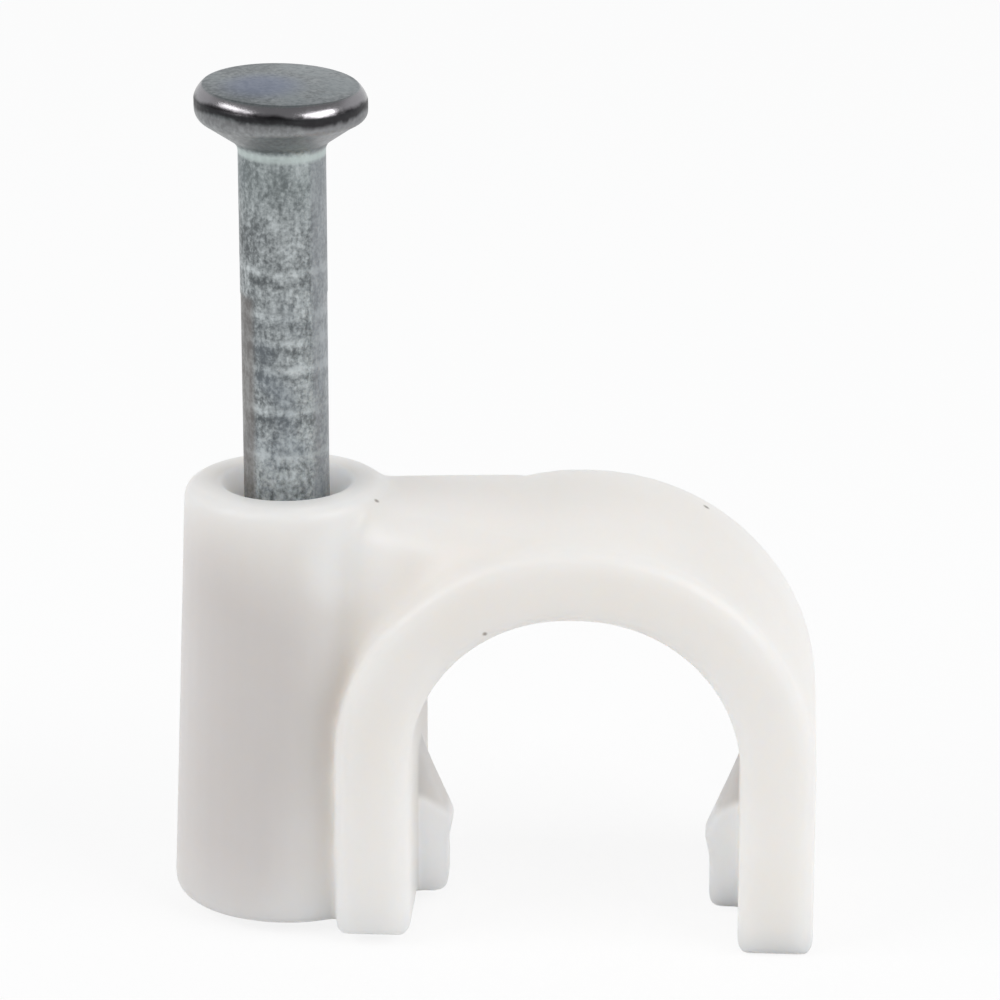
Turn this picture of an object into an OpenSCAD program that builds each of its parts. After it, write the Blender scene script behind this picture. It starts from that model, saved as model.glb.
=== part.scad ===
// Nail-in cable clip: a one-piece plastic hook with a nail boss, and the nail it is supplied with.
// The base of the clip lies on z = 0, the nail's axis is the z axis and the cable runs along y.

/* [Cable hook] */
// Inside width of the hook between its legs
seat_w = 7.76; // [6:0.02:12]
// Height of each leg below the start of its bend
leg_h = 4.22; // [4:0.02:6]
// How far the far leg and its lug reach below the base, so that they bear on the wall first
far_leg_drop = 0.25; // [0:0.05:0.5]
// Length of the flat at the middle of the crown
crown_flat = 0.3; // [0.1:0.05:1]
// Thickness of the hook's wall
wall_t = 1.78; // [1.4:0.02:2.2]
// Width of the hook along the cable
hook_w = 6.6; // [6:0.1:9]
// Rounding of the hook's long edges
hook_edge_r = 0.4; // [0.1:0.05:0.5]
// Bevel around the bottom of each leg
leg_bevel = 0.15; // [0.05:0.05:0.3]

/* [Retaining lugs] */
// Width of each lug along the cable
lug_w = 1; // [0.8:0.1:2]
// Reach of the lug's nose from the inside of the leg
lug_nose = 0.84; // [0.75:0.02:1.2]
// Height of the lug's nose above the base
lug_nose_h = 1.85; // [1.6:0.05:2.6]
// Height at which the lug's lead-in slope meets the leg
lug_top_h = 3.85; // [3.4:0.05:4.8]
// Reach of the lug's shank below the nose
lug_reach = 0.72; // [0.5:0.02:0.74]
// Height of the step under the nose
lug_step_h = 1.3; // [0.8:0.1:1.5]
// Rounding of the lug's lower corner
lug_foot_r = 0.3; // [0.1:0.05:0.4]

/* [Nail boss] */
// Distance from the nail's axis to the inside of the near leg
nail_to_leg = 3.1; // [2.6:0.02:4]
// Diameter of the boss at its base
boss_base_d = 5.7; // [5.2:0.1:6.5]
// Diameter of the boss at its top
boss_top_d = 4.84; // [4.4:0.02:5.2]
// How far the boss stands above the hook's crown
boss_rise = 0.58; // [0.5:0.02:1.5]
// Rounding of the boss's top rim
boss_rim_r = 0.35; // [0.2:0.05:0.6]
// Rounding of the boss's bottom edge
boss_foot_r = 0.35; // [0.1:0.05:0.6]
// Diameter of the countersink at the top of the boss
sink_d = 3.15; // [2.6:0.05:3.2]
// Depth of the countersink
sink_depth = 0.6; // [0.5:0.1:2]

/* [Web] */
// Width of the web where it crosses the nail's axis
web_w = 2.4; // [2:0.1:4]
// How far the web's sides lie inside the hook's faces at its full width
web_inset = 0.1; // [0.05:0.05:0.8]
// Distance from the middle of the seat at which the web reaches its full width
web_full = 1.7; // [1.2:0.1:3]
// How far the web's top at the nail's axis lies below the top of the boss
web_drop = 0.03; // [0.02:0.01:0.3]
// Distance from the middle of the seat at which the web's top comes level with the crown
web_end = 1.2; // [0.8:0.1:2]
// Rounding of the web's top edges
web_edge_r = 1; // [0.4:0.1:1.2]

/* [Nail] */
// Diameter of the shank
shank_d = 2.05; // [1.8:0.05:2.3]
// Length from the top of the head to the point
nail_len = 19.6; // [17:0.1:25]
// Height of the point above the base as supplied
point_h = 0.4; // [0.2:0.1:1]
// Length of the four-sided point
point_len = 2.2; // [1.5:0.1:3]
// Diameter of the head
head_d = 4.05; // [3.7:0.05:4.5]
// Rounding of the head's top edge
head_top_r = 0.26; // [0.2:0.02:0.5]
// Height of the head's straight side
head_side_h = 0.35; // [0.1:0.05:0.5]
// Rounding of the head's lower edge
head_low_r = 0.4; // [0.1:0.05:0.5]
// Slope of the cone under the head
head_cone_deg = 34; // [20:1:45]

/* [Fit] */
// Gap between the shank and its bore, each side
nail_clear = 0.03; // [0.01:0.01:0.1]

/* [Hidden] */
$fn = 96;
plastic_colour = [0.93, 0.91, 0.89];
zinc_colour = [0.52, 0.55, 0.55];
// Overrun of a cut past the face it opens
cut = 1;

// Cable hook: two legs, two bends and a short flat crown, all of one wall section
leg_gap = seat_w/2;
seat_x = nail_to_leg + leg_gap;
bend_r = leg_gap - crown_flat/2;
crown_h = leg_h + bend_r + wall_t;

// Nail boss and nail
boss_h = crown_h + boss_rise;
shank_r = shank_d/2;
bore_r = shank_r + nail_clear;
sink_r = sink_d/2;
head_r = head_d/2;
head_top = point_h + nail_len;
low_z = head_top - head_top_r - head_side_h;
cone_r = head_r - head_low_r*(1 - sin(head_cone_deg));
cone_top = low_z - head_low_r*cos(head_cone_deg);
neck_z = cone_top - (cone_r - shank_r)*tan(head_cone_deg);

// Web: its top falls from the boss to the crown, and its sides open to their full width
web_top = boss_h - web_drop;
web_fall_deg = atan((web_top - crown_h)/(seat_x - web_end));
web_half = hook_w/2 - web_inset;
web_flare_deg = atan((web_half - web_w/2)/(seat_x - web_full));

// Rectangle from x0 to x1 and from -w/2 to w/2, with rounded corners
module rounded_section(x0, x1, w, r) {
    translate([x0 + r, -w/2]) square([x1 - x0 - 2*r, w]);
    translate([x0, r - w/2]) square([x1 - x0, w - 2*r]);
    for (x = [x0 + r, x1 - r])
        for (y = [r - w/2, w/2 - r])
            translate([x, y]) circle(r);
}

// Wall section of the hook, with its inner face at the given radius
module wall_section(inner) {
    rounded_section(inner, inner + wall_t, hook_w, hook_edge_r);
}

// Quarter bend of the hook's wall, from the top of the +x leg to the crown
module bend() {
    translate([crown_flat/2, 0, leg_h]) rotate([90, 0, 0]) rotate_extrude(angle = 90) wall_section(bend_r);
}

// Flat length of wall between the two bends
module crown() {
    translate([-crown_flat/2, 0, leg_h]) rotate([90, 0, 90]) linear_extrude(crown_flat)
        rotate([0, 0, 90]) wall_section(bend_r);
}

// Outline with bevelled lower corners, from x0 to x1 and from 0 to h
module bevelled_outline(x0, x1, h) {
    polygon([
        [x0 + leg_bevel, 0], [x1 - leg_bevel, 0], [x1, leg_bevel],
        [x1, h], [x0, h], [x0, leg_bevel]
    ]);
}

// Straight leg on the +x side of the seat, bevelled round its foot, which lies drop below the base
module leg(drop) {
    leg_out = leg_gap + wall_t;
    leg_len = leg_h + drop;
    translate([0, 0, -drop]) intersection() {
        linear_extrude(leg_len) wall_section(leg_gap);
        rotate([90, 0, 0]) linear_extrude(hook_w + 2*cut, center = true)
            bevelled_outline(leg_gap, leg_out, leg_len + cut);
        translate([leg_gap - cut, 0, 0]) rotate([90, 0, 90]) linear_extrude(wall_t + 2*cut)
            bevelled_outline(-hook_w/2, hook_w/2, leg_len + cut);
    }
}

// Retaining lug on the +x leg: a lead-in slope, a nose, a step back and a rounded foot
module lug() {
    root = wall_t/4;
    slope = (lug_top_h - lug_nose_h)/lug_nose;
    rotate([90, 0, 0]) linear_extrude(lug_w, center = true) translate([leg_gap, 0]) {
        polygon([
            [root, lug_foot_r], [-lug_reach, lug_foot_r], [-lug_reach, lug_step_h],
            [-lug_nose, lug_nose_h], [0, lug_top_h], [root, lug_top_h + slope*root]
        ]);
        translate([lug_foot_r - lug_reach, 0]) square([lug_reach - lug_foot_r + root, lug_foot_r]);
        translate([lug_foot_r - lug_reach, lug_foot_r]) circle(lug_foot_r);
    }
}

// One half of the hook about the middle of the seat
module hook_side(drop) {
    bend();
    leg(drop);
    translate([0, 0, -drop]) lug();
}

module hook() {
    translate([seat_x, 0, 0]) {
        crown();
        hook_side(far_leg_drop);
        mirror([1, 0, 0]) hook_side(0);
    }
}

// Tapered boss with a rounded top rim and a rounded foot
module boss() {
    base_r = boss_base_d/2;
    top_r = boss_top_d/2;
    draft = (base_r - top_r)/boss_h;
    rotate_extrude() {
        polygon([
            [0, 0], [base_r - boss_foot_r, 0], [base_r - draft*boss_foot_r, boss_foot_r],
            [top_r + draft*boss_rim_r, boss_h - boss_rim_r], [top_r - boss_rim_r, boss_h], [0, boss_h]
        ]);
        translate([base_r - draft*boss_foot_r - boss_foot_r, boss_foot_r]) circle(boss_foot_r);
        translate([top_r + draft*boss_rim_r - boss_rim_r, boss_h - boss_rim_r]) circle(boss_rim_r);
    }
}

// Everything on the inner side of one face of the web, under its top, with the top edge rounded
module web_face(half_w, turn) {
    depth = crown_h - leg_h;
    width = half_w + 2*hook_w;
    rotate([0, 0, turn]) rotate([90, 0, 90]) linear_extrude(4*seat_x, center = true) translate([half_w, 0]) {
        translate([-width, -depth]) square([width, depth - web_edge_r]);
        translate([-width, -depth]) square([width - web_edge_r, depth]);
        translate([-web_edge_r, -web_edge_r]) circle(web_edge_r);
    }
}

// Solid from the nail's axis to the middle of the seat, inside the web's opening and its full-width faces
module web_block() {
    neck = web_w/2*cos(web_flare_deg);
    intersection() {
        translate([0, -hook_w, -boss_h]) cube([seat_x, 2*hook_w, 2*boss_h]);
        web_face(web_half, 0);
        mirror([0, 1, 0]) web_face(web_half, 0);
        web_face(neck, web_flare_deg);
        mirror([0, 1, 0]) web_face(neck, web_flare_deg);
    }
}

// Web between the boss and the hook, kept out of the cable's space
module web() {
    mid_r = bend_r + wall_t/2;
    mid_gap = leg_gap + wall_t/2;
    difference() {
        translate([0, 0, web_top]) rotate([0, web_fall_deg, 0]) web_block();
        translate([seat_x - crown_flat/2, 0, leg_h]) rotate([90, 0, 0])
            cylinder(r = mid_r, h = 2*hook_w, center = true);
        translate([seat_x - mid_gap, -hook_w, -cut]) cube([2*mid_gap, 2*hook_w, leg_h + cut]);
    }
}

// Countersunk hole for the nail, right through the boss
module nail_hole() {
    translate([0, 0, -cut]) cylinder(r = bore_r, h = boss_h + 2*cut);
    translate([0, 0, boss_h - sink_depth]) cylinder(r1 = bore_r, r2 = sink_r, h = sink_depth);
    translate([0, 0, boss_h]) cylinder(r = sink_r, h = cut);
}

module clip_body() {
    color(plastic_colour) difference() {
        union() {
            hook();
            boss();
            web();
        }
        nail_hole();
    }
}

// Turned form of the nail: a round shank, a cone, and a head with a flat top and a rounded rim
module turned_nail() {
    rotate_extrude() {
        polygon([
            [0, point_h - cut], [shank_r, point_h - cut], [shank_r, neck_z], [cone_r, cone_top],
            [head_r - head_low_r, low_z], [head_r, low_z], [head_r, low_z + head_side_h],
            [head_r - head_top_r, low_z + head_side_h], [head_r - head_top_r, head_top], [0, head_top]
        ]);
        translate([head_r - head_top_r, low_z + head_side_h]) circle(head_top_r);
        translate([head_r - head_low_r, low_z]) circle(head_low_r);
    }
}

// Wedge with its edge at the point, which widens past the shank and the head, turned about the nail's axis
module point_wedge(turn) {
    wedge_h = nail_len + cut;
    wedge_r = wedge_h*shank_r*sqrt(2)/point_len;
    translate([0, 0, point_h]) rotate([90, 0, turn]) linear_extrude(head_d + 2*cut, center = true)
        polygon([[0, 0], [wedge_r, wedge_h], [-wedge_r, wedge_h]]);
}

// Nail with a point of four flat faces
module nail() {
    color(zinc_colour) intersection() {
        turned_nail();
        point_wedge(0);
        point_wedge(90);
    }
}

clip_body();
nail();
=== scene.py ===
# Looks of a nail-in cable clip: a softly moulded plastic hook and boss, and a zinc-plated nail.
import math

import bmesh
import bpy
import numpy as np
from mathutils import Matrix, Vector

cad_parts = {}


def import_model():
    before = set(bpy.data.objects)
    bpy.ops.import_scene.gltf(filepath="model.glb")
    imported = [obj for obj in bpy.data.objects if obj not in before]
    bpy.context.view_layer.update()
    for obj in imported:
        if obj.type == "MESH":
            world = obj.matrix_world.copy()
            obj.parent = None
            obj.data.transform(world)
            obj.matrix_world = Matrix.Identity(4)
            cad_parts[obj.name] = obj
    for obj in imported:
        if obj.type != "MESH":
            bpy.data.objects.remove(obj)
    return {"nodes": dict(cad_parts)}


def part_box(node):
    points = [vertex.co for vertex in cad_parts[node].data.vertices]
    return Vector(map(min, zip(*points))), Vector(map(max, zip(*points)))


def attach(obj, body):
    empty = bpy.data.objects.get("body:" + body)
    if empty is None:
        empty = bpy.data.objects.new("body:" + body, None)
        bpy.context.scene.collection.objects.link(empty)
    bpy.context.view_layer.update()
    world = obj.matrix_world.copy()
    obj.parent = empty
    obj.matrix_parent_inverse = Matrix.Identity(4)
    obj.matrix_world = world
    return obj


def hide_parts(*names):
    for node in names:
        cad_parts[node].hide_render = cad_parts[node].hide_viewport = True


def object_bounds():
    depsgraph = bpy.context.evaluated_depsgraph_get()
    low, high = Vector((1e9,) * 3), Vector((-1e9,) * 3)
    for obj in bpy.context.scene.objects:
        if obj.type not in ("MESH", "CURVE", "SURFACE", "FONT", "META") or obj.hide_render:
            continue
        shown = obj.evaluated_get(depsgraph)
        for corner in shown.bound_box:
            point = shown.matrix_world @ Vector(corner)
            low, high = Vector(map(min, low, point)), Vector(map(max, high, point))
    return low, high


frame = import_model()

CAD_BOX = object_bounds()
MM = 0.001

# Clip, in millimetres: its even mesh, and the share of each smoothing step
WELD = 1e-4
VOXEL = 0.088
EVEN_ROUNDS = 8
LAST_ROUNDS = 2
EVEN_SHARE = 0.5

# Fillets in the clip's inner corners: where a corner is hollow enough, and how far its fillet spreads
HOLLOW_START = 0.02
HOLLOW_BAND = 0.06
FILLET_SPREAD = 90
FILLET_GAIN = 4
FILLET_ROUNDS = 150
FILLET_SHARE = 0.6

# Corners that stay sharper: below a height, at the boss's rim and at the countersink
LOW_Z = 6.0
LOW_BAND = 2.0
LOW_SHARE = 0.12
BOSS_RIM_Z = 9.3
BOSS_RIM_BAND = 0.5
BOSS_RIM_REACH = 3.3
BOSS_RIM_SHARE = 0.15
HOLE_R = 1.85
HOLE_BAND = 0.3

# Nail, in millimetres: shank, point and mesh
SHANK_R = 1.025
POINT_LEN = 2.2
NAIL_SIDES = 160
SHANK_STEP = 0.07
TOP_STEPS = 24

# Head: domed top, narrow edge, bulging rim, side, rounded lower edge, cone and neck
HEAD_DOME = 0.08
HEAD_EDGE_R = 0.05
HEAD_EDGE_DEG = 88
HEAD_BULGE_R = 0.6
HEAD_BULGE_DEG = 50
HEAD_SIDE_R = 0.25
HEAD_SIDE_DEG = 20
HEAD_LOW_DROP = 0.61
HEAD_LOW_R = 0.4
HEAD_CONE_DEG = 34
NECK_R = 0.32

# The forged head sits askew and is a little out of round, from under its rim upwards
HEAD_TILT = 0.042
HEAD_ROLL = 0.033
HEAD_SINK = 0.03
HEAD_LOBE = 0.02
FORGED_DROP = 1.0
FORGED_BAND = 0.4

# Lobes of the head's outline: how many, their share, and where they start in radians
LOBES = ((2, 0.3, 0.6), (3, 0.2, 2.0))

# Marks of the grip's teeth on the wire, and the two strips that it flattened
GRIP_HEIGHTS = (15.64, 14.60, 13.97, 13.32, 12.30, 11.19)
GRIP_RISE = 0.022
GRIP_HALF = 0.09
GRIP_TILT = 0.03
GRIP_TURN = 2.1
GRIP_FULL = 1.3
GRIP_FALL = 1.6
FLAT_TOP = 14.9
FLAT_LOW = 9.4
FLAT_ANGLE = math.radians(32)
FLAT_DEPTH = 0.012

# Range of a noise's values that a material uses
NOISE_RANGE = (0.3, 0.7)

# Share of a spot's radius that is at full strength
NEAR_CORE = 0.3

# Plastic: its marks and grain per metre, roughness, relief in millimetres and strength, and inner light
FLOW_SCALE = 160
GRAIN_SCALE = 5200
GRAIN_RELIEF = 0.15
MOULD_ROUGH = (0.42, 0.50)
MOULD_RELIEF = (0.02, 0.5)
MOULD_IOR = 1.5
MOULD_GLOW = 2.0
MOULD_GLOW_RGB = (1.0, 0.9, 0.8)

# Plastic: its colours, with painted shade and painted light among them
MOULD_WARM = (0.855, 0.825, 0.792, 1)
MOULD_COOL = (0.880, 0.858, 0.835, 1)
# Painted shade for the boss, standing in for the dark nail inside darkening the light through the plastic
BOSS_SHADE_RGB = (0.785, 0.775, 0.785, 1)
# Painted light on the lugs, and a painted shadow of the arch on their upper slopes
LUG_LIGHT_RGB = (0.97, 0.955, 0.945, 1)
LUG_SHADOW_RGB = (0.71, 0.705, 0.70, 1)
# Painted light in the corner between the boss and the web, and in the countersink, standing in for light
# through the plastic
CORNER_LIGHT_RGB = (0.94, 0.92, 0.90, 1)
SINK_LIGHT_RGB = (0.97, 0.955, 0.94, 1)
SPECK_DARK = (0.30, 0.27, 0.24, 1)

# Plastic: the places that its painted shade and painted light depend on, in millimetres
SEAT_X = 6.98
LEG_GAP = 3.88
BOSS_SHADE_X = -0.9
BOSS_SHADE_R = (2.7, 3.4)
BOSS_FADE = (7.0, 10.2)
BOSS_TOP_SHARE = 0.1
BOSS_FADE_WAY = (0.5, 0, 1)
BOSS_FOOT = (-0.3, 2.2)
BOSS_FOOT_SHARE = 0.7
LUG_ROOT = (0.06, 0.01)
LUG_TOP = (3.7, 4.1)
LUG_SLOPE = 0.7
LUG_SHADE = (-0.25, 0.05)
CORNER_AT = (1.7, -2.1, 8.9)
CORNER_R = 1.5
CORNER_SHARE = 0.7
SINK_R = (1.52, 1.70)
SINK_Z = (8.8, 9.3)

# Dark specks in the moulding: place and radius, in millimetres
SPECKS = (
    ((4.909, -3.3, 7.691), 0.09),
    ((2.2, -0.953, 10.1), 0.10),
    ((9.921, 2.522, 9.0), 0.12),
)

# Zinc: its crystals, clouds and patches per metre, their shares, roughness and relief
FINE_SCALE = 10500
FINE_SHARE = 0.36
STREAK_SCALE = 7000
STREAK_SHARE = 0.26
STREAK_SHAPE = (1, 1, 0.35)
CLOUD_SCALE = 900
CLOUD_SHARE = 0.38
CLOUD_SHAPE = (1, 1, 0.7)
CLOUD_WARP = 0.3
PATCH_SCALE = 420
PATCH_RANGE = (0.52, 0.75)
PATCH_SHARE = 0.4
BROKEN_SCALE = 1800
BROKEN_RANGE = (0.36, 0.60)
BROKEN_LEAST = 0.35
CRYSTAL_TONE = (0.36, 0.66)
MOTTLE_RANGE = (0.38, 0.62)
ZINC_ROUGH = (0.50, 0.40)
RIM_GLOSS = 0.24
TOP_MATT = 0.16
ZINC_RELIEF = (0.02, 0.6)
RIM_SMOOTH = 0.7

# Zinc on the shank: its colours
CRYSTAL_DARK = (0.13, 0.142, 0.147, 1)
CRYSTAL_PALE = (0.57, 0.61, 0.62, 1)
PATCH_BLUE = (0.26, 0.30, 0.35, 1)
UPPER_GREEN = (0.33, 0.39, 0.385, 1)
LEFT_STRIP = (0.215, 0.20, 0.19, 1)
RIGHT_STRIP = (0.30, 0.315, 0.335, 1)

# Zinc on the head: its colours, with a painted dark reflection among them
NECK_PALE = (0.56, 0.63, 0.615, 1)
CREASE_DARK = (0.08, 0.09, 0.09, 1)
CONE_GREY = (0.33, 0.32, 0.325, 1)
# Painted dark reflection: the head's lower edge, side and lower rim
LOWER_REFLECTION_GREY = (0.12, 0.115, 0.12, 1)
SIDE_DARK_REFLECTION = (0.022, 0.02, 0.022, 1)
RIM_DARK_REFLECTION = (0.03, 0.028, 0.03, 1)
RIM_BRIGHT = (0.26, 0.25, 0.26, 1)
TOP_DARK = (0.135, 0.15, 0.155, 1)
TOP_PALE = (0.29, 0.31, 0.315, 1)
TOP_CLOUD = (0.16, 0.19, 0.20, 1)
TOP_BLUE = (0.165, 0.195, 0.275, 1)

# Zinc: heights and distances across the shank between which a look holds or changes, in millimetres,
# and the share or tone of each look
# Painted light: the shank a little lighter to the right side and darker to the left
ACROSS_FADE = (-0.45, 0.55)
ACROSS_PAINTED_LIGHT = (-0.015, 0.03)
GRIP_PALE = (-0.05, 0.12)
GRIP_PALE_TONE = 0.085
GRIP_DARK = (-0.30, -0.14)
GRIP_DARK_TONE = 0.045
GRIP_SOFT = 0.07
UPPER_Z = (16.2, 18.2)
UPPER_SHARE = 0.25
STRIP_TOP = (14.8, 15.1)
LEFT_X = (-0.74, -0.56)
LEFT_SHARE = 0.7
RIGHT_X = (0.66, 0.80)
RIGHT_SHARE = 0.6
NECK_Z = (18.29, 18.47)
NECK_SHARE = 0.8
CREASE_Z = (18.54, 18.64)
CREASE_SHARE = 0.5
CONE_Z = (18.62, 19.46)
CONE_SHARE = 0.5
BAND_SOFT = 0.06
# Painted dark reflection: heights of the darker band round the head's lower edge, side and lower rim
LOWER_Z = (19.25, 19.6)
LOWER_SOFT = 0.18
LOWER_SHARE = 0.4
WAVE = 0.07
SIDE_Z = (19.43, 19.75)
SIDE_SOFT = 0.07
SIDE_SHARE = 0.92
CROWN_Z = (19.58, 19.66)
POLISH_Z = (19.60, 19.71)
TOP_R = (1.80, 1.86)
TOP_CLOUD_RANGE = (0.48, 0.62)
TOP_CLOUD_SHARE = 0.45
BLUE_AT = (-0.4, -0.40, 19.97)
BLUE_R = 1.25
BLUE_SHARE = 0.85

# Camera, fitted to the photograph, in millimetres and radians
VIEW_TARGET = Vector((5.0594, 0, 9.8917))
VIEW_DISTANCE = 110
VIEW_RISE = 0.3202
VIEW_TURN = 0.0596
FOCAL_PX = 4649.96
FRAME_PX = 1000
SENSOR = 36
CLIP_NEAR = 1
CLIP_FAR = 30000

# Stage, in millimetres
FLOOR_SIZE = 3000
FLOOR_WHITE = 0.95
FLOOR_PLAIN = 0.85

# Lamps: turn to the right of the camera's side and rise above the floor, in degrees, width and height in
# millimetres, and level, which is the brightness that the lamp gives a white card that faces it
LAMP_DISTANCE = 420
LAMPS = {
    "key": (63, 36, 320, 120, 0.445),
    "fill": (-65, 37, 300, 110, 0.375),
}

# Surroundings: level, share at the camera's side and at the wall behind, and where these begin and end
WORLD_LEVEL = 0.425
WORLD_TINT = (0.97, 0.985, 1.0, 1)
FRONT_SHARE = 0.35
FRONT_EDGE = (-0.85, -0.65)
FRONT_TOP = (0.42, 0.55)
BACK_SHARE = 2.2
BACK_EDGE = (0.0, 0.5)
BACK_TOP = (0.45, 0.8)


def from_mm(point):
    return Vector(point)*MM


def ramp(values, start, band):
    """0 up to a start, and 1 from one band's width above it."""
    return np.clip((values - start)/band, 0, 1)


def link(name, data):
    piece = bpy.data.objects.new(name, data)
    bpy.context.scene.collection.objects.link(piece)
    return piece


def points_of(mesh):
    flat = np.empty(3*len(mesh.vertices))
    mesh.vertices.foreach_get("co", flat)
    return flat.reshape(-1, 3)


def normals_of(mesh):
    flat = np.empty(3*len(mesh.vertices))
    mesh.vertex_normals.foreach_get("vector", flat)
    return flat.reshape(-1, 3)


def edges_of(mesh):
    flat = np.empty(2*len(mesh.edges), int)
    mesh.edges.foreach_get("vertices", flat)
    return flat.reshape(-1, 2)


# Clip: an even mesh of the solid, smoothed as a moulding is


def even_mesh(node, name):
    """A fine, even mesh of a node's shape, in millimetres."""
    source = frame["nodes"][node].data.copy()
    source.transform(Matrix.Scale(1/MM, 4))
    work = bmesh.new()
    work.from_mesh(source)
    bmesh.ops.remove_doubles(work, verts=work.verts, dist=WELD)
    work.to_mesh(source)
    work.free()
    rough = link(name + "_rough", source)
    remesh = rough.modifiers.new("Even mesh", "REMESH")
    remesh.mode = "VOXEL"
    remesh.voxel_size = VOXEL
    shaped = rough.evaluated_get(bpy.context.evaluated_depsgraph_get())
    mesh = bpy.data.meshes.new_from_object(shaped)
    mesh.name = name
    bpy.data.objects.remove(rough)
    return mesh


def neighbour_mean(values, edges, count):
    """Mean of each point's neighbours."""
    total = np.zeros_like(values)
    np.add.at(total, edges[:, 0], values[edges[:, 1]])
    np.add.at(total, edges[:, 1], values[edges[:, 0]])
    return total/count[:, None]


def relax(points, edges, count, rounds, share):
    """Moves the points towards their neighbours' mean, each by its own share."""
    for _ in range(rounds):
        points = points + share[:, None]*(neighbour_mean(points, edges, count) - points)
    return points


def even_out(points, edges, count):
    """Takes the voxels' steps off: smoothing and swelling rounds in turn, then a little more smoothing."""
    share = np.full(len(count), EVEN_SHARE)
    for _ in range(EVEN_ROUNDS):
        points = relax(points, edges, count, 1, share)
        points = relax(points, edges, count, 1, -share)
    return relax(points, edges, count, LAST_ROUNDS, share)


def hollow_share(points, normals, edges, count):
    """How far each point lies in an inner corner, from 0 to 1, spread over the corner's surroundings."""
    lift = neighbour_mean(points, edges, count) - points
    depth = np.einsum("ij,ij->i", lift, normals)/VOXEL
    share = ramp(depth, HOLLOW_START, HOLLOW_BAND)[:, None]
    for _ in range(FILLET_SPREAD):
        share = 0.5*share + 0.5*neighbour_mean(share, edges, count)
    return np.clip(FILLET_GAIN*share[:, 0], 0, 1)


def soft_share(points):
    """How far a corner at each point may be filled, from 0 to 1."""
    height = points[:, 2]
    from_axis = np.hypot(points[:, 0], points[:, 1])
    above = LOW_SHARE + (1 - LOW_SHARE)*ramp(height, LOW_Z, LOW_BAND)
    outside = ramp(from_axis, HOLE_R, HOLE_BAND)
    rim = ramp(height, BOSS_RIM_Z, BOSS_RIM_BAND)*np.clip(BOSS_RIM_REACH - from_axis, 0, 1)
    return above*outside*(1 - (1 - BOSS_RIM_SHARE)*rim)


def moulded_skin():
    """The clip's even mesh with its inner corners filled, kept inside the solid's box."""
    mesh = even_mesh("clip_body", "clip_skin")
    edges = edges_of(mesh)
    count = np.bincount(edges.ravel(), minlength=len(mesh.vertices))
    points = even_out(points_of(mesh), edges, count)
    mesh.vertices.foreach_set("co", points.ravel())
    mesh.update()
    share = hollow_share(points, normals_of(mesh), edges, count)*soft_share(points)
    points = relax(points, edges, count, FILLET_ROUNDS, FILLET_SHARE*share)
    low, high = (np.array(corner)/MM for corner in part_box("clip_body"))
    points = np.clip(points, low, high)
    mesh.vertices.foreach_set("co", (points*MM).ravel())
    mesh.polygons.foreach_set("use_smooth", [True]*len(mesh.polygons))
    mesh.update()
    return link("clip_skin", mesh)


# Nail: a turned form with grip marks on its shank, in millimetres


def arc(centre, radius, start, end, steps):
    """Points (radius, height) on an arc of the nail's profile, angles in degrees from outwards."""
    angles = np.radians(np.linspace(start, end, steps))
    return [(centre[0] + radius*math.cos(a), centre[1] + radius*math.sin(a)) for a in angles]


def line(start, end, steps):
    """Points between two points of the nail's profile, without those two."""
    outwards = end[0] - start[0]
    upwards = end[1] - start[1]
    shares = np.linspace(0, 1, steps)[1:-1]
    return [(start[0] + outwards*share, start[1] + upwards*share) for share in shares]


def head_profile(high, head_r):
    """Profile (radius, height) from the middle of the head's top down to the top of the cone."""
    bulge_turn = math.radians(HEAD_BULGE_DEG)
    side_turn = math.radians(HEAD_SIDE_DEG)
    inner_r = HEAD_BULGE_R - HEAD_EDGE_R
    inset = HEAD_BULGE_R - HEAD_SIDE_R
    edge_z = high - HEAD_DOME - HEAD_EDGE_R
    bulge_z = edge_z - inner_r*math.sin(bulge_turn)
    bulge_r = head_r - HEAD_SIDE_R - inset*math.cos(side_turn)
    edge_r = bulge_r + inner_r*math.cos(bulge_turn)
    side_z = bulge_z + inset*math.sin(side_turn)
    top = [(edge_r*share, high - HEAD_DOME*share**2) for share in np.linspace(0, 1, TOP_STEPS)[:-1]]
    edge = arc((edge_r, edge_z), HEAD_EDGE_R, HEAD_EDGE_DEG, HEAD_BULGE_DEG, steps=6)
    bulge = arc((bulge_r, bulge_z), HEAD_BULGE_R, HEAD_BULGE_DEG, HEAD_SIDE_DEG, steps=12)[1:]
    side = arc((head_r - HEAD_SIDE_R, side_z), HEAD_SIDE_R, HEAD_SIDE_DEG, 0, steps=6)[1:]
    lower_at = (head_r - HEAD_LOW_R, high - HEAD_LOW_DROP)
    lower = arc(lower_at, HEAD_LOW_R, 0, HEAD_CONE_DEG - 90, steps=10)
    return top + edge + bulge + side + lower


def nail_profile(low, high, head_r):
    """Profile (radius, height) from the middle of the head's top down to the point."""
    head = head_profile(high, head_r)
    cone_r, cone_z = head[-1]
    slope = math.radians(HEAD_CONE_DEG)
    corner_z = cone_z - (cone_r - SHANK_R)*math.tan(slope)
    neck_z = corner_z - NECK_R*math.tan((math.pi/2 - slope)/2)
    neck = arc((SHANK_R + NECK_R, neck_z), NECK_R, 90 + HEAD_CONE_DEG, 180, steps=8)
    cone = line(head[-1], neck[0], steps=10)
    shank_rows = int((neck_z - low)/SHANK_STEP)
    shank = [(SHANK_R, z) for z in np.linspace(neck_z, low, shank_rows)[1:]]
    return head + cone + neck + shank


def bump(distance, half):
    """A smooth rise that is 1 at no distance and 0 beyond half."""
    return np.where(np.abs(distance) < half, 0.5 + 0.5*np.cos(math.pi*distance/half), 0)


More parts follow.
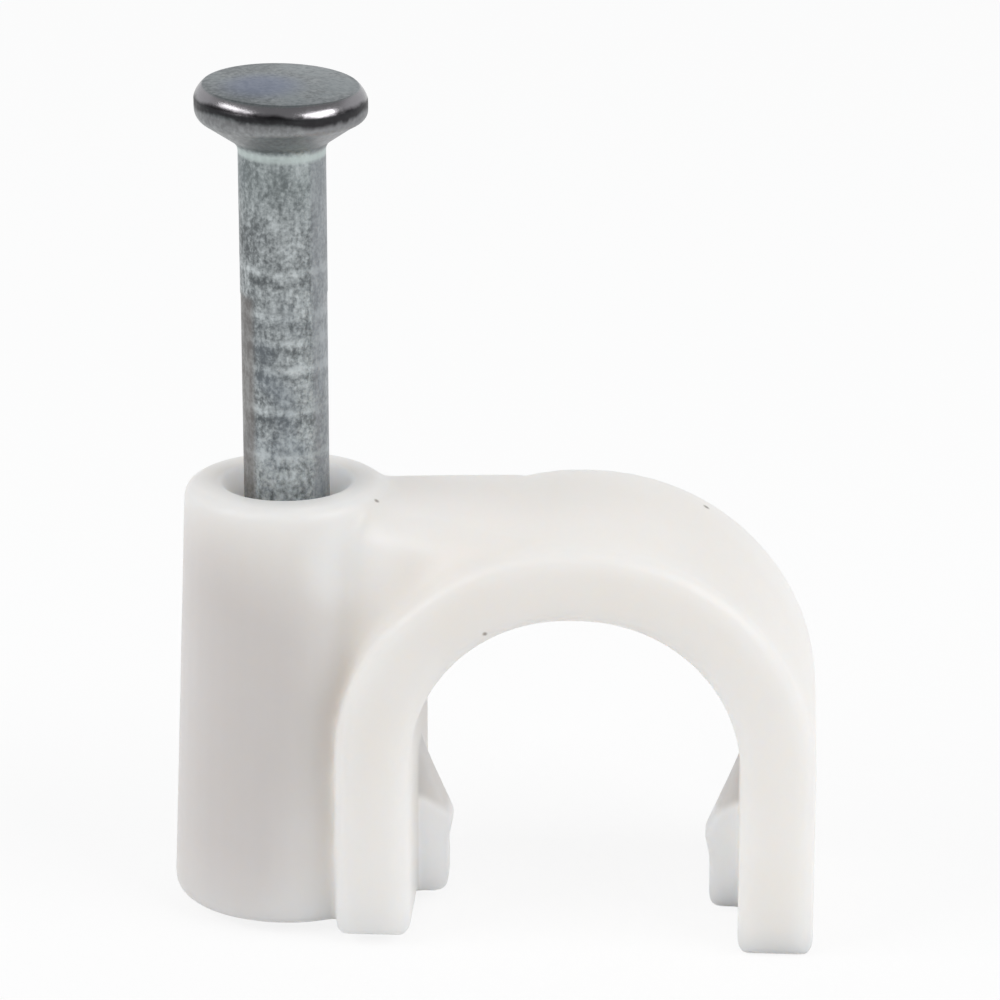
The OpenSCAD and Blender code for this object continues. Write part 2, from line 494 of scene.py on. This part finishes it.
def gripped(radius, height, turn):
    """The radius with two flattened strips at the sides, and the marks of the grip's teeth between them."""
    side = np.abs(np.cos(turn))
    strip = ramp(side, math.cos(FLAT_ANGLE), 1 - math.cos(FLAT_ANGLE))
    flattened = (height < FLAT_TOP) & (height > FLAT_LOW)
    radius = radius - np.where(flattened, FLAT_DEPTH*strip, 0)
    for index, mark in enumerate(GRIP_HEIGHTS):
        tilt = GRIP_TILT*math.sin(GRIP_TURN*index)
        rise = GRIP_RISE*bump(height - mark - tilt*np.cos(turn), GRIP_HALF)
        radius = radius + rise*np.clip(GRIP_FULL - GRIP_FALL*side, 0, 1)
    return radius


def pointed(radius, height, turn, low):
    """The radius with the point's four flat faces."""
    reach = math.sqrt(2)*SHANK_R*(height - low)/POINT_LEN
    square = reach/np.maximum(np.abs(np.cos(turn)), np.abs(np.sin(turn)))
    return np.where(height < low + POINT_LEN, np.minimum(radius, square), radius)


def forged(radius, height, turn, high):
    """Points of the nail, with its head out of round inside its full radius, and askew."""
    head = ramp(height, high - FORGED_DROP, FORGED_BAND)
    inset = 0.5
    for count, share, start in LOBES:
        inset = inset - share*np.cos(count*turn + start)
    radius = radius*(1 - HEAD_LOBE*head*inset)
    x = radius*np.cos(turn)
    y = radius*np.sin(turn)
    z = height + head*(HEAD_TILT*y - HEAD_ROLL*x - HEAD_SINK)
    return np.stack([x, y, z], -1)


def ring_mesh(name, points):
    """A closed mesh through rings of points, whose first and last rings are single points."""
    work = bmesh.new()
    rings = [[work.verts.new(point*MM) for point in row] for row in points[1:-1]]
    crown = work.verts.new(points[0, 0]*MM)
    tip = work.verts.new(points[-1, 0]*MM)
    sides = len(rings[0])
    for k in range(sides):
        following = (k + 1) % sides
        work.faces.new((crown, rings[0][k], rings[0][following]))
        work.faces.new((tip, rings[-1][following], rings[-1][k]))
        for upper, lower in zip(rings, rings[1:]):
            work.faces.new((upper[k], lower[k], lower[following], upper[following]))
    bmesh.ops.recalc_face_normals(work, faces=work.faces)
    for face in work.faces:
        face.smooth = True
    mesh = bpy.data.meshes.new(name)
    work.to_mesh(mesh)
    work.free()
    return mesh


def turned_nail():
    """The nail from the middle of its head's top down to its tip."""
    low, high = (corner/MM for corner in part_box("nail"))
    rows = np.array(nail_profile(low.z, high.z, high.x))
    angles = np.arange(NAIL_SIDES)*math.tau/NAIL_SIDES
    radius = np.repeat(rows[:, :1], NAIL_SIDES, 1)
    height = np.repeat(rows[:, 1:], NAIL_SIDES, 1)
    turn = np.repeat(angles[None, :], len(rows), 0)
    radius = gripped(radius, height, turn)
    radius = pointed(radius, height, turn, low.z)
    points = forged(radius, height, turn, high.z)
    return link("nail_skin", ring_mesh("nail_skin", points))


# Materials


class Nodes:
    """Short calls that add nodes to one material or world."""

    def __init__(self, owner):
        owner.use_nodes = True
        self.tree = owner.node_tree
        self.tree.nodes.clear()

    def add(self, kind, **values):
        node = self.tree.nodes.new(kind)
        for name, value in values.items():
            setattr(node, name, value)
        return node

    def join(self, out, into):
        self.tree.links.new(out, into)

    def put(self, socket, value):
        if isinstance(value, bpy.types.NodeSocket):
            self.join(value, socket)
        else:
            socket.default_value = value

    def place(self):
        return self.add("ShaderNodeTexCoord").outputs["Object"]

    def noise(self, where, scale, detail=4, rough=0.55, warp=0.0):
        node = self.add("ShaderNodeTexNoise")
        self.join(where, node.inputs["Vector"])
        node.inputs["Scale"].default_value = scale
        node.inputs["Detail"].default_value = detail
        node.inputs["Roughness"].default_value = rough
        node.inputs["Distortion"].default_value = warp
        return node.outputs["Fac"]

    def stretched(self, where, scale):
        node = self.add("ShaderNodeMapping")
        self.join(where, node.inputs["Vector"])
        node.inputs["Scale"].default_value = scale
        return node.outputs["Vector"]

    def spread(self, value, start, end, at_start=0.0, at_end=1.0):
        """A smooth change from one number to another as a value goes from start to end."""
        node = self.add("ShaderNodeMapRange")
        node.interpolation_type = "SMOOTHSTEP"
        self.put(node.inputs["Value"], value)
        node.inputs["From Min"].default_value = start
        node.inputs["From Max"].default_value = end
        node.inputs["To Min"].default_value = at_start
        node.inputs["To Max"].default_value = at_end
        return node.outputs["Result"]

    def fade(self, distance, ends, at_start=0.0, at_end=1.0):
        """The same for a distance, between two ends in millimetres."""
        return self.spread(distance, ends[0]*MM, ends[1]*MM, at_start, at_end)

    def math(self, operation, a, b=0.0):
        node = self.add("ShaderNodeMath", operation=operation)
        self.put(node.inputs[0], a)
        self.put(node.inputs[1], b)
        return node.outputs["Value"]

    def times(self, a, b):
        return self.math("MULTIPLY", a, b)

    def mix(self, share, a, b, blend="MIX"):
        node = self.add("ShaderNodeMix", data_type="RGBA", blend_type=blend)
        self.put(node.inputs["Factor"], share)
        self.put(node.inputs["A"], a)
        self.put(node.inputs["B"], b)
        return node.outputs["Result"]

    def along(self, where, way):
        """Distance along a direction."""
        node = self.add("ShaderNodeVectorMath", operation="DOT_PRODUCT")
        self.join(where, node.inputs[0])
        node.inputs[1].default_value = way
        return node.outputs["Value"]

    def near(self, where, point, radius):
        """1 at a point, falling to 0 at a radius, both in millimetres."""
        node = self.add("ShaderNodeVectorMath", operation="DISTANCE")
        self.join(where, node.inputs[0])
        node.inputs[1].default_value = from_mm(point)
        return self.fade(node.outputs["Value"], (NEAR_CORE*radius, radius), 1.0, 0.0)

    def around(self, where, x, radii):
        """1 up to the first distance from an upright line at x, and 0 from the second, in millimetres."""
        flat = self.add("ShaderNodeVectorMath", operation="MULTIPLY_ADD")
        self.join(where, flat.inputs[0])
        flat.inputs[1].default_value = (1, 1, 0)
        flat.inputs[2].default_value = (-x*MM, 0, 0)
        length = self.add("ShaderNodeVectorMath", operation="LENGTH")
        self.join(flat.outputs["Vector"], length.inputs[0])
        return self.fade(length.outputs["Value"], radii, 1.0, 0.0)

    def band(self, distance, ends, soft):
        """1 between two ends and 0 outside them, with soft edges, in millimetres."""
        low, high = ends
        rise = self.fade(distance, (low - soft, low + soft))
        fall = self.fade(distance, (high - soft, high + soft), 1.0, 0.0)
        return self.times(rise, fall)

    def bump(self, height, depth, strength):
        node = self.add("ShaderNodeBump")
        node.inputs["Strength"].default_value = strength
        node.inputs["Distance"].default_value = depth*MM
        self.join(height, node.inputs["Height"])
        return node.outputs["Normal"]

    def principled(self, colour, rough, normal):
        """A Principled shader with these three linked, joined to the material's output."""
        shader = self.add("ShaderNodeBsdfPrincipled")
        self.join(colour, shader.inputs["Base Color"])
        self.join(rough, shader.inputs["Roughness"])
        self.join(normal, shader.inputs["Normal"])
        output = self.add("ShaderNodeOutputMaterial")
        self.join(shader.outputs["BSDF"], output.inputs["Surface"])
        return shader


def plastic():
    """Satin white moulding that lets a little light in, with soft flow marks, a few specks, and painted
    shade and light on the boss, lugs, corner and countersink.
    """
    material = bpy.data.materials.new("plastic")
    nodes = Nodes(material)
    where = nodes.place()
    height = nodes.along(where, (0, 0, 1))
    flow = nodes.noise(where, FLOW_SCALE, detail=3)
    grain = nodes.noise(where, GRAIN_SCALE, detail=3)
    colour = nodes.mix(nodes.spread(flow, *NOISE_RANGE), MOULD_WARM, MOULD_COOL)

    # Boss: painted shade, greyer where the dark nail inside would darken the light through the plastic,
    # fading upwards, to the right and at the foot
    boss = nodes.around(where, BOSS_SHADE_X, BOSS_SHADE_R)
    boss = nodes.times(boss, nodes.fade(nodes.along(where, BOSS_FADE_WAY), BOSS_FADE, 1.0, BOSS_TOP_SHARE))
    boss = nodes.times(boss, nodes.fade(height, BOSS_FOOT, BOSS_FOOT_SHARE, 1.0))
    colour = nodes.mix(boss, colour, BOSS_SHADE_RGB, "MULTIPLY")

    # Lugs: painted light over them, and a painted shadow of the arch on their upper lead-in slopes
    reach = nodes.math("SUBTRACT", nodes.along(where, (1, 0, 0)), SEAT_X*MM)
    reach = nodes.math("ABSOLUTE", reach)
    lug = nodes.fade(reach, (LEG_GAP - LUG_ROOT[0], LEG_GAP - LUG_ROOT[1]), 1.0, 0.0)
    lug = nodes.times(lug, nodes.fade(height, LUG_TOP, 1.0, 0.0))
    slope = nodes.math("SUBTRACT", height, nodes.times(reach, LUG_SLOPE))
    upper = nodes.times(lug, nodes.fade(slope, LUG_SHADE))
    colour = nodes.mix(lug, colour, LUG_LIGHT_RGB)
    colour = nodes.mix(upper, colour, LUG_SHADOW_RGB, "MULTIPLY")

    # Painted light: paler colour in the corner between the boss and the web and in the countersink,
    # standing in for light through the plastic
    corner = nodes.near(where, CORNER_AT, CORNER_R)
    colour = nodes.mix(nodes.times(corner, CORNER_SHARE), colour, CORNER_LIGHT_RGB)
    sink = nodes.times(nodes.around(where, 0, SINK_R), nodes.fade(height, SINK_Z))
    colour = nodes.mix(sink, colour, SINK_LIGHT_RGB)
    for point, radius in SPECKS:
        colour = nodes.mix(nodes.near(where, point, radius), colour, SPECK_DARK)

    rough = nodes.spread(grain, *NOISE_RANGE, *MOULD_ROUGH)
    relief = nodes.math("ADD", nodes.times(grain, GRAIN_RELIEF), flow)
    shader = nodes.principled(colour, rough, nodes.bump(relief, *MOULD_RELIEF))
    shader.inputs["IOR"].default_value = MOULD_IOR
    shader.inputs["Subsurface Weight"].default_value = 1.0
    shader.inputs["Subsurface Radius"].default_value = MOULD_GLOW_RGB
    shader.inputs["Subsurface Scale"].default_value = MOULD_GLOW*MM
    return material


def shank_tone(nodes, where, height, across, mottle):
    """Tone of the plating's crystals, with painted light that makes it lighter to the right: paler at the
    marks of the grip and darker under them.
    """
    # Painted light: lighter to the right across the shank, darker to the left
    tone = nodes.math("ADD", mottle, nodes.fade(across, ACROSS_FADE, *ACROSS_PAINTED_LIGHT))
    broken = nodes.spread(nodes.noise(where, BROKEN_SCALE, detail=2), *BROKEN_RANGE, BROKEN_LEAST, 1.0)
    for mark in GRIP_HEIGHTS:
        pale = nodes.band(height, (mark + GRIP_PALE[0], mark + GRIP_PALE[1]), GRIP_SOFT)
        dark = nodes.band(height, (mark + GRIP_DARK[0], mark + GRIP_DARK[1]), GRIP_SOFT)
        tone = nodes.math("ADD", tone, nodes.times(nodes.times(pale, broken), GRIP_PALE_TONE))
        tone = nodes.math("SUBTRACT", tone, nodes.times(nodes.times(dark, broken), GRIP_DARK_TONE))
    return tone


def zinc():
    """Zinc plating on drawn wire: crystals, smoother strips with painted light across the shank, a polished
    rim on the head, and a painted dark reflection on the head's side.
    """
    material = bpy.data.materials.new("zinc")
    nodes = Nodes(material)
    where = nodes.place()
    across = nodes.along(where, (1, 0, 0))
    height = nodes.along(where, (HEAD_ROLL, -HEAD_TILT, 1))
    fine = nodes.noise(where, FINE_SCALE, detail=3, rough=0.6)
    tall = nodes.stretched(where, STREAK_SHAPE)
    streak = nodes.noise(tall, STREAK_SCALE, detail=3, rough=0.6)
    long = nodes.stretched(where, CLOUD_SHAPE)
    cloud = nodes.noise(long, CLOUD_SCALE, detail=4, rough=0.6, warp=CLOUD_WARP)
    patch = nodes.noise(where, PATCH_SCALE, detail=2)
    mottle = nodes.times(fine, FINE_SHARE)
    mottle = nodes.math("ADD", mottle, nodes.times(streak, STREAK_SHARE))
    mottle = nodes.math("ADD", mottle, nodes.times(cloud, CLOUD_SHARE))

    # Shank: crystals with bluish patches, greener towards the head, and smoother strips at the sides
    tone = shank_tone(nodes, where, height, across, mottle)
    crystal = nodes.spread(tone, *CRYSTAL_TONE)
    colour = nodes.mix(crystal, CRYSTAL_DARK, CRYSTAL_PALE)
    colour = nodes.mix(nodes.spread(patch, *PATCH_RANGE, 0, PATCH_SHARE), colour, PATCH_BLUE)
    colour = nodes.mix(nodes.fade(height, UPPER_Z, 0.0, UPPER_SHARE), colour, UPPER_GREEN)
    left = nodes.times(nodes.fade(across, LEFT_X, LEFT_SHARE, 0.0), nodes.fade(height, STRIP_TOP, 1.0, 0.0))
    colour = nodes.mix(left, colour, LEFT_STRIP)
    colour = nodes.mix(nodes.fade(across, RIGHT_X, 0.0, RIGHT_SHARE), colour, RIGHT_STRIP)

    # Under the head: a pale ring at the neck, a dark crease, a duller cone, and a painted dark reflection
    # on the head's lower edge and side
    neck = nodes.band(height, NECK_Z, BAND_SOFT)
    colour = nodes.mix(nodes.times(neck, NECK_SHARE), colour, NECK_PALE)
    crease = nodes.band(height, CREASE_Z, BAND_SOFT)
    colour = nodes.mix(nodes.times(crease, CREASE_SHARE), colour, CREASE_DARK)
    cone = nodes.band(height, CONE_Z, BAND_SOFT)
    colour = nodes.mix(nodes.times(cone, CONE_SHARE), colour, CONE_GREY)
    lower = nodes.band(height, LOWER_Z, LOWER_SOFT)
    colour = nodes.mix(nodes.times(lower, LOWER_SHARE), colour, LOWER_REFLECTION_GREY)
    wavy = nodes.math("ADD", height, nodes.spread(cloud, *NOISE_RANGE, -WAVE*MM, WAVE*MM))
    side = nodes.band(wavy, SIDE_Z, SIDE_SOFT)
    colour = nodes.mix(nodes.times(side, SIDE_SHARE), colour, SIDE_DARK_REFLECTION)

    # Head: a polished rim, with painted dark reflection towards its lower edge, and a dull top with a
    # bluish patch
    crown = nodes.fade(height, CROWN_Z)
    rim = nodes.mix(nodes.fade(wavy, POLISH_Z), RIM_DARK_REFLECTION, RIM_BRIGHT)
    colour = nodes.mix(crown, colour, rim)
    top = nodes.times(crown, nodes.around(where, 0, TOP_R))
    dull = nodes.mix(crystal, TOP_DARK, TOP_PALE)
    dull = nodes.mix(nodes.spread(cloud, *TOP_CLOUD_RANGE, 0, TOP_CLOUD_SHARE), dull, TOP_CLOUD)
    dull = nodes.mix(nodes.times(nodes.near(where, BLUE_AT, BLUE_R), BLUE_SHARE), dull, TOP_BLUE)
    colour = nodes.mix(top, colour, dull)

    rough = nodes.spread(mottle, *MOTTLE_RANGE, *ZINC_ROUGH)
    rough = nodes.math("SUBTRACT", rough, nodes.times(crown, RIM_GLOSS))
    rough = nodes.math("ADD", rough, nodes.times(top, TOP_MATT))
    relief = nodes.times(mottle, nodes.math("SUBTRACT", 1.0, nodes.times(crown, RIM_SMOOTH)))
    shader = nodes.principled(colour, rough, nodes.bump(relief, *ZINC_RELIEF))
    shader.inputs["Metallic"].default_value = 1.0
    return material


# Stage


def seen_directly(nodes):
    """1 for camera, mirror and see-through rays, which all show the same pale floor."""
    path = nodes.add("ShaderNodeLightPath")
    seen = nodes.math("MAXIMUM", path.outputs["Is Camera Ray"], path.outputs["Is Glossy Ray"])
    return nodes.math("MAXIMUM", seen, path.outputs["Is Transmission Ray"])


def floor():
    """A wide pale floor under the lowest point, which keeps the object's shadow."""
    half = FLOOR_SIZE/2
    z = CAD_BOX[0].z/MM
    corners = [from_mm((x*half, y*half, z)) for x, y in ((-1, -1), (1, -1), (1, 1), (-1, 1))]
    mesh = bpy.data.meshes.new("floor")
    mesh.from_pydata(corners, [], [(0, 1, 2, 3)])
    material = bpy.data.materials.new("floor")
    nodes = Nodes(material)
    matt = nodes.add("ShaderNodeBsdfDiffuse")
    matt.inputs["Color"].default_value = (FLOOR_WHITE, FLOOR_WHITE, FLOOR_WHITE, 1)
    white = nodes.add("ShaderNodeEmission")
    both = nodes.add("ShaderNodeMixShader")
    nodes.join(nodes.times(seen_directly(nodes), FLOOR_PLAIN), both.inputs["Fac"])
    nodes.join(matt.outputs["BSDF"], both.inputs[1])
    nodes.join(white.outputs["Emission"], both.inputs[2])
    output = nodes.add("ShaderNodeOutputMaterial")
    nodes.join(both.outputs["Shader"], output.inputs["Surface"])
    mesh.materials.append(material)
    link("floor", mesh)


def aim(piece, turn, rise, distance):
    """Puts a lamp or camera at a distance from the target, turned to the right and raised, and aims it."""
    away = Vector((math.sin(turn)*math.cos(rise), -math.cos(turn)*math.cos(rise), math.sin(rise)))
    piece.location = from_mm(VIEW_TARGET + away*distance)
    piece.rotation_mode = "QUATERNION"
    piece.rotation_quaternion = away.to_track_quat("Z", "Y")


def lamp(name, turn, rise, wide, tall, level):
    """A soft rectangular lamp."""
    light = bpy.data.lights.new(name, "AREA")
    light.shape = "RECTANGLE"
    light.size = wide*MM
    light.size_y = tall*MM
    light.energy = level*(math.pi*LAMP_DISTANCE*MM)**2
    aim(link(name, light), math.radians(turn), math.radians(rise), LAMP_DISTANCE)


def world():
    """Plain surroundings for light: a white wall behind, grey above and at the sides, dim in front."""
    surroundings = bpy.data.worlds.new("studio")
    bpy.context.scene.world = surroundings
    nodes = Nodes(surroundings)
    split = nodes.add("ShaderNodeSeparateXYZ")
    nodes.join(nodes.add("ShaderNodeTexCoord").outputs["Generated"], split.inputs["Vector"])
    back = split.outputs["Y"]
    up = split.outputs["Z"]
    front = nodes.times(nodes.spread(back, *FRONT_EDGE, 1.0, 0.0), nodes.spread(up, *FRONT_TOP, 1.0, 0.0))
    wall = nodes.times(nodes.spread(back, *BACK_EDGE), nodes.spread(up, *BACK_TOP, 1.0, 0.0))
    level = nodes.spread(front, 0.0, 1.0, WORLD_LEVEL, FRONT_SHARE*WORLD_LEVEL)
    level = nodes.times(level, nodes.spread(wall, 0.0, 1.0, 1.0, BACK_SHARE))
    background = nodes.add("ShaderNodeBackground")
    background.inputs["Color"].default_value = WORLD_TINT
    nodes.join(level, background.inputs["Strength"])
    output = nodes.add("ShaderNodeOutputWorld")
    nodes.join(background.outputs["Background"], output.inputs["Surface"])


def camera():
    """The camera at the photograph's viewing angle."""
    data = bpy.data.cameras.new("camera")
    data.sensor_width = SENSOR
    data.lens = FOCAL_PX*SENSOR/FRAME_PX
    data.clip_start = CLIP_NEAR*MM
    data.clip_end = CLIP_FAR*MM
    piece = link("camera", data)
    aim(piece, VIEW_TURN, VIEW_RISE, VIEW_DISTANCE)
    bpy.context.scene.camera = piece


camera()
world()
floor()
for name, values in LAMPS.items():
    lamp(name, *values)
bpy.context.scene.view_settings.view_transform = "Standard"

clip = moulded_skin()
clip.data.materials.clear()
clip.data.materials.append(plastic())
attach(clip, "clip")
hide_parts("clip_body")

nail = turned_nail()
nail.data.materials.append(zinc())
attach(nail, "nail")
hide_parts("nail")
